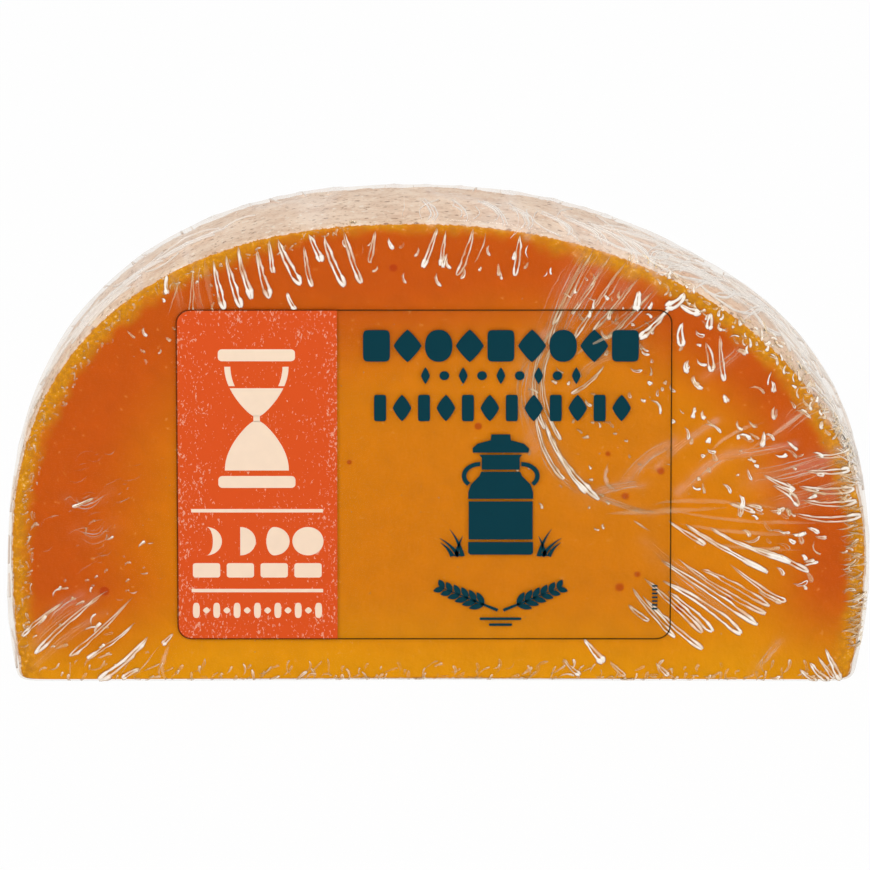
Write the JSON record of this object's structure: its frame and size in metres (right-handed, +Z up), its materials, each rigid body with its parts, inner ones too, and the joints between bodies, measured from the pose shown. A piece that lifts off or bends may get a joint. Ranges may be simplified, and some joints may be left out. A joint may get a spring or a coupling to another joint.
{
  "type": "wrapped mimolette cheese slab",
  "caption": "Half-moon slab cut from a ball of mimolette, flat cuts and curved pitted rind, tight in clear stretch film with a plain label on the front cut.",
  "frame": {"origin": "middle of the pack's footprint, on the surface that the slab stands on", "axes": "+Z up, +X to the right of the labelled front cut, +Y from the front cut to the back cut"},
  "size_m": [0.1863, 0.026, 0.1086],
  "materials": {
    "cheese": "waxy, slightly oily cut cheese; the rind is pale, dry and pitted",
    "film": "clear glossy stretch film",
    "label": "printed clear film label with an orange panel"
  },
  "bodies": {
    "root": {"cheese": "cheese", "film": "film", "label": "label"}
  },
  "joints": []
}
